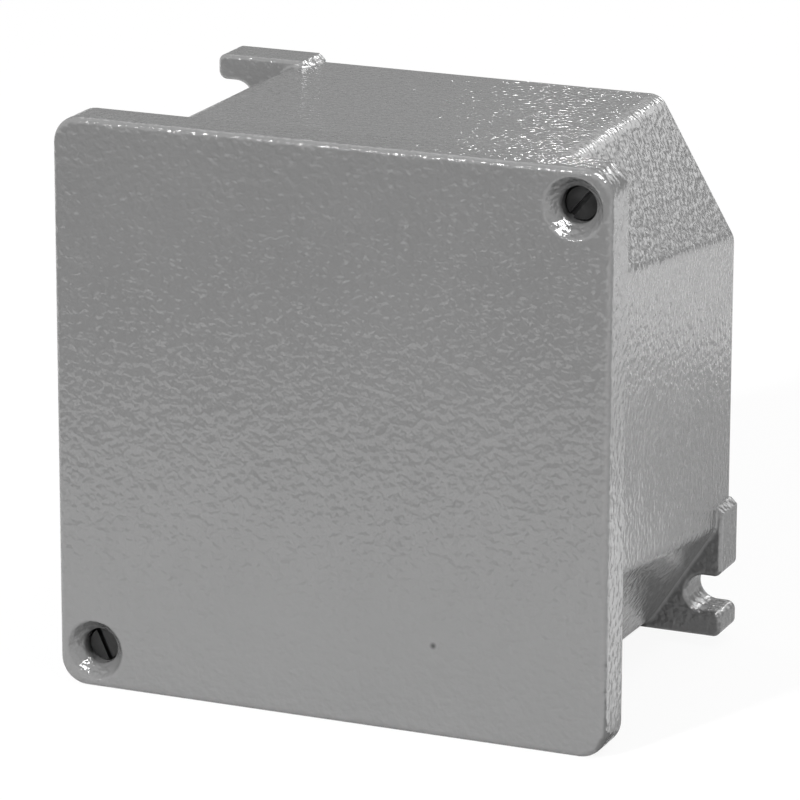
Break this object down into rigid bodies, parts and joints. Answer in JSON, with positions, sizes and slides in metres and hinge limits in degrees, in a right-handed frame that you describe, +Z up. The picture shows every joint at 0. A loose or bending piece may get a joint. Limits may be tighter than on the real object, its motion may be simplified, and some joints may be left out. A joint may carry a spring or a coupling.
{
  "type": "die cast aluminium box",
  "caption": "Small square metal junction box with a drafted octagonal base, a flat lid with two sunk corner screws and open-slot fixing lugs at the back.",
  "frame": {"origin": "centre of the flat back face, the face that lies on the wall", "axes": "+Y out of the back face into the wall, so the lid faces -Y; +Z up as in the picture; +X to the right seen from the lid"},
  "size_m": [0.09, 0.0625, 0.09],
  "materials": {
    "paint": "grey hammer paint on cast aluminium",
    "gasket": "matte",
    "lid_screw": "satin",
    "ring": "matte",
    "earth_brass": "satin",
    "earth_steel": "satin"
  },
  "bodies": {
    "base": {"base": "paint", "earth_clamp": "earth_brass", "earth_spring_washer": "earth_steel", "earth_screw": "earth_brass"},
    "lid": {"lid": "paint", "lid_gasket": "gasket"},
    "ring_top": {"screw_ring_top": "ring"},
    "screw_top": {"lid_screw_top": "lid_screw"},
    "ring_bottom": {"screw_ring_bottom": "ring"},
    "screw_bottom": {"lid_screw_bottom": "lid_screw"}
  },
  "joints": [
    {"name": "lid_lift", "type": "slide", "parent": "base", "child": "lid", "axis": [0, -1, 0], "range_m": [0, 0.06]},
    {"name": "screw_travel_top", "type": "slide", "parent": "lid", "child": "ring_top", "axis": [0, -1, 0], "range_m": [0, 0.0042]},
    {"name": "screw_turn_top", "type": "hinge", "parent": "ring_top", "child": "screw_top", "pos_m": [0.039, -0.0506, 0.039], "axis": [0, -1, 0], "range_deg": [0, 3024]},
    {"name": "screw_travel_bottom", "type": "slide", "parent": "lid", "child": "ring_bottom", "axis": [0, -1, 0], "range_m": [0, 0.0042]},
    {"name": "screw_turn_bottom", "type": "hinge", "parent": "ring_bottom", "child": "screw_bottom", "pos_m": [-0.039, -0.0506, -0.039], "axis": [0, -1, 0], "range_deg": [0, 3024]}
  ],
  "couplings": [
    {"joint": "screw_turn_top", "follows": "screw_travel_top", "rad_per_m": 12566},
    {"joint": "screw_turn_bottom", "follows": "screw_travel_bottom", "rad_per_m": 12566}
  ]
}
